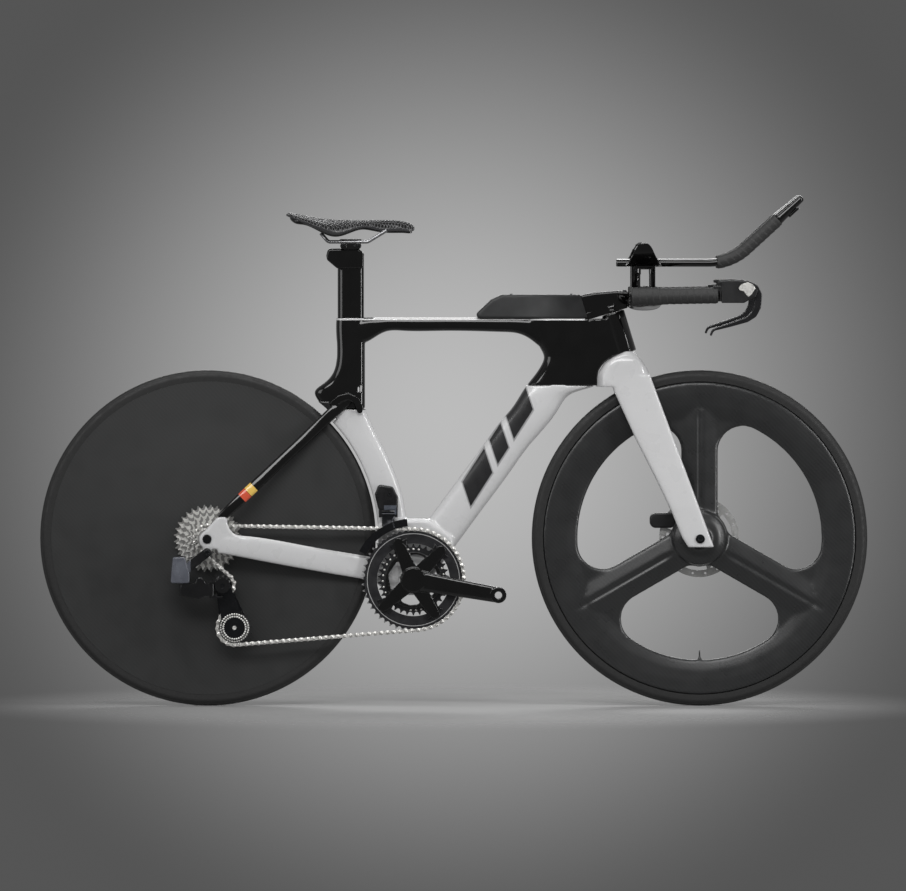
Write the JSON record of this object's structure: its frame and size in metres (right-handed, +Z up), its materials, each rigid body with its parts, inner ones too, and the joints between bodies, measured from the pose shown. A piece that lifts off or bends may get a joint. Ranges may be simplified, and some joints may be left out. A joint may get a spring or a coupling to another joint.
{
  "type": "time trial bicycle",
  "caption": "Time trial bicycle with a closed rear disc, a three-spoke front wheel, extension bars with arm cups, disc brakes and a chain drive.",
  "frame": {"origin": "on the floor, midway between the two axles", "axes": "+X forward, +Y to the rider's left, +Z up; the chain is on the -Y side"},
  "size_m": [1.656, 0.4372, 1.0209],
  "materials": {
    "black_gloss": "gloss",
    "pearl_paint": "pearl gloss",
    "dark_stay": "gloss",
    "black_satin": "satin",
    "wheel_carbon": "matte carbon",
    "tyre_rubber": "matte",
    "grip_rubber": "matte",
    "soft_pad": "matte foam",
    "bearing_steel": "bright",
    "dark_metal": "gloss anodised",
    "lever_carbon": "satin",
    "pad_compound": "matte"
  },
  "bodies": {
    "frame": {"head_tube_block": "black_gloss", "frame_bearings": "bearing_steel", "seat_tube_upper": "black_gloss", "top_tube": "black_gloss", "storage_box": "black_satin", "seat_clamp": "black_satin", "seat_tube_lower": "pearl_paint", "down_tube": "pearl_paint", "chainstays": "pearl_paint", "seatstays": "dark_stay", "bottom_bracket_shell": "pearl_paint", "rear_thru_axle": "dark_metal", "rear_brake_caliper": "dark_metal", "rear_derailleur_body": "dark_metal", "front_derailleur_body": "dark_metal", "chain": "bearing_steel"},
    "steering": {"fork": "pearl_paint", "stem": "black_gloss", "base_bar": "black_satin", "grip_tape": "grip_rubber", "brake_lever_bodies": "black_satin", "arm_risers": "black_satin", "arm_cups": "black_satin", "arm_pads": "soft_pad", "extensions": "black_satin", "shifter_bodies": "black_satin", "front_thru_axle": "dark_metal", "front_brake_caliper": "dark_metal"},
    "front_wheel": {"front_wheel": "wheel_carbon", "front_tyre": "tyre_rubber", "front_rotor": "bearing_steel", "front_hub_bearings": "bearing_steel"},
    "rear_wheel": {"rear_disc_wheel": "wheel_carbon", "rear_tyre": "tyre_rubber", "rear_rotor": "bearing_steel", "rear_hub_bearings": "bearing_steel"},
    "crankset": {"crank_arms": "dark_metal", "chainrings": "dark_metal"},
    "sprockets": {"cassette": "bearing_steel", "freehub_body": "bearing_steel"},
    "outer_link": {"rear_derailleur_outer_link": "dark_metal"},
    "inner_link": {"rear_derailleur_inner_link": "dark_metal"},
    "knuckle": {"rear_derailleur_knuckle": "dark_metal"},
    "pulley_cage": {"rear_derailleur_cage": "dark_metal"},
    "guide_pulley": {"guide_pulley": "dark_metal"},
    "tension_pulley": {"tension_pulley": "dark_metal"},
    "front_cage": {"front_derailleur_cage": "dark_metal"},
    "left_lever": {"left_brake_lever": "lever_carbon"},
    "right_lever": {"right_brake_lever": "lever_carbon"},
    "left_button": {"left_shift_button": "lever_carbon"},
    "right_button": {"right_shift_button": "lever_carbon"},
    "front_pad_outer": {"front_brake_pad_outer": "pad_compound"},
    "front_pad_inner": {"front_brake_pad_inner": "pad_compound"},
    "rear_pad_outer": {"rear_brake_pad_outer": "pad_compound"},
    "rear_pad_inner": {"rear_brake_pad_inner": "pad_compound"},
    "seat": {"seatpost": "black_gloss", "saddle_rails": "bearing_steel", "saddle_clamp": "dark_metal", "saddle_cover": "soft_pad", "saddle_shell": "black_satin"}
  },
  "joints": [
    {"name": "steering", "type": "hinge", "parent": "frame", "child": "steering", "pos_m": [0.45949, 0, 0.32606], "axis": [-0.2924, 0, 0.9563], "range_deg": [-35, 35]},
    {"name": "front_wheel_spin", "type": "hinge", "parent": "steering", "child": "front_wheel", "pos_m": [0.492, 0, 0.336], "axis": [0, 1, 0], "continuous": true},
    {"name": "rear_wheel_spin", "type": "hinge", "parent": "frame", "child": "rear_wheel", "pos_m": [-0.492, 0, 0.336], "axis": [0, 1, 0], "continuous": true},
    {"name": "crank_spin", "type": "hinge", "parent": "frame", "child": "crankset", "pos_m": [-0.08063, 0, 0.2538], "axis": [0, 1, 0], "continuous": true, "deforming": ["chain"]},
    {"name": "sprocket_spin", "type": "hinge", "parent": "frame", "child": "sprockets", "pos_m": [-0.492, 0, 0.336], "axis": [0, 1, 0], "continuous": true, "deforming": ["chain"]},
    {"name": "derailleur_swing", "type": "hinge", "parent": "frame", "child": "outer_link", "pos_m": [-0.5419, -0.0895, 0.2354], "axis": [0, 0, 1], "range_deg": [-6, 24], "deforming": ["chain"]},
    {"name": "derailleur_inner_swing", "type": "hinge", "parent": "frame", "child": "inner_link", "pos_m": [-0.5419, -0.0765, 0.2354], "axis": [0, 0, 1], "range_deg": [-6, 24]},
    {"name": "knuckle_turn", "type": "hinge", "parent": "outer_link", "child": "knuckle", "pos_m": [-0.4819, -0.0895, 0.2354], "axis": [0, 0, 1], "range_deg": [-24, 6], "deforming": ["chain"]},
    {"name": "pulley_cage_swing", "type": "hinge", "parent": "knuckle", "child": "pulley_cage", "pos_m": [-0.4609, -0.05845, 0.2438], "axis": [0, 1, 0], "range_deg": [-20, 40], "stiffness_Nm_per_rad": 0.6, "deforming": ["chain"]},
    {"name": "guide_pulley_spin", "type": "hinge", "parent": "pulley_cage", "child": "guide_pulley", "pos_m": [-0.4609, -0.05845, 0.2438], "axis": [0, 1, 0], "continuous": true, "deforming": ["chain"]},
    {"name": "tension_pulley_spin", "type": "hinge", "parent": "pulley_cage", "child": "tension_pulley", "pos_m": [-0.4377, -0.05845, 0.1583], "axis": [0, 1, 0], "continuous": true, "deforming": ["chain"]},
    {"name": "front_cage_swing", "type": "hinge", "parent": "frame", "child": "front_cage", "pos_m": [-0.13095, -0.03108, 0.38404], "axis": [1, 0, 0], "range_deg": [0, 8], "deforming": ["chain"]},
    {"name": "left_lever_pull", "type": "hinge", "parent": "steering", "child": "left_lever", "pos_m": [0.58138, 0.2, 0.84497], "axis": [0, 1, 0], "range_deg": [0, 20], "stiffness_Nm_per_rad": 1.5},
    {"name": "right_lever_pull", "type": "hinge", "parent": "steering", "child": "right_lever", "pos_m": [0.58138, -0.2, 0.84497], "axis": [0, 1, 0], "range_deg": [0, 20], "stiffness_Nm_per_rad": 1.5},
    {"name": "left_button_press", "type": "slide", "parent": "steering", "child": "left_button", "axis": [-0.6756, 0, 0.7373], "range_m": [0, 0.0015], "stiffness_N_per_m": 600},
    {"name": "right_button_press", "type": "slide", "parent": "steering", "child": "right_button", "axis": [-0.6756, 0, 0.7373], "range_m": [0, 0.0015], "stiffness_N_per_m": 600},
    {"name": "front_pad_outer_slide", "type": "slide", "parent": "steering", "child": "front_pad_outer", "axis": [0, -1, 0], "range_m": [0, 0.0004]},
    {"name": "front_pad_inner_slide", "type": "slide", "parent": "steering", "child": "front_pad_inner", "axis": [0, 1, 0], "range_m": [0, 0.0004]},
    {"name": "rear_pad_outer_slide", "type": "slide", "parent": "frame", "child": "rear_pad_outer", "axis": [0, -1, 0], "range_m": [0, 0.0004]},
    {"name": "rear_pad_inner_slide", "type": "slide", "parent": "frame", "child": "rear_pad_inner", "axis": [0, 1, 0], "range_m": [0, 0.0004]},
    {"name": "seatpost_slide", "type": "slide", "parent": "frame", "child": "seat", "axis": [0, 0, 1], "range_m": [-0.015, 0.04]}
  ],
  "couplings": [
    {"joint": "sprocket_spin", "follows": "crank_spin", "ratio": 3.8462},
    {"joint": "guide_pulley_spin", "follows": "crank_spin", "ratio": -4.5455},
    {"joint": "tension_pulley_spin", "follows": "crank_spin", "ratio": 2.9412},
    {"joint": "derailleur_inner_swing", "follows": "derailleur_swing", "ratio": 1},
    {"joint": "knuckle_turn", "follows": "derailleur_swing", "ratio": -1},
    {"joint": "front_pad_outer_slide", "follows": "left_lever_pull", "m_per_rad": 0.00114},
    {"joint": "front_pad_inner_slide", "follows": "left_lever_pull", "m_per_rad": 0.00114},
    {"joint": "rear_pad_outer_slide", "follows": "right_lever_pull", "m_per_rad": 0.00114},
    {"joint": "rear_pad_inner_slide", "follows": "right_lever_pull", "m_per_rad": 0.00114}
  ]
}
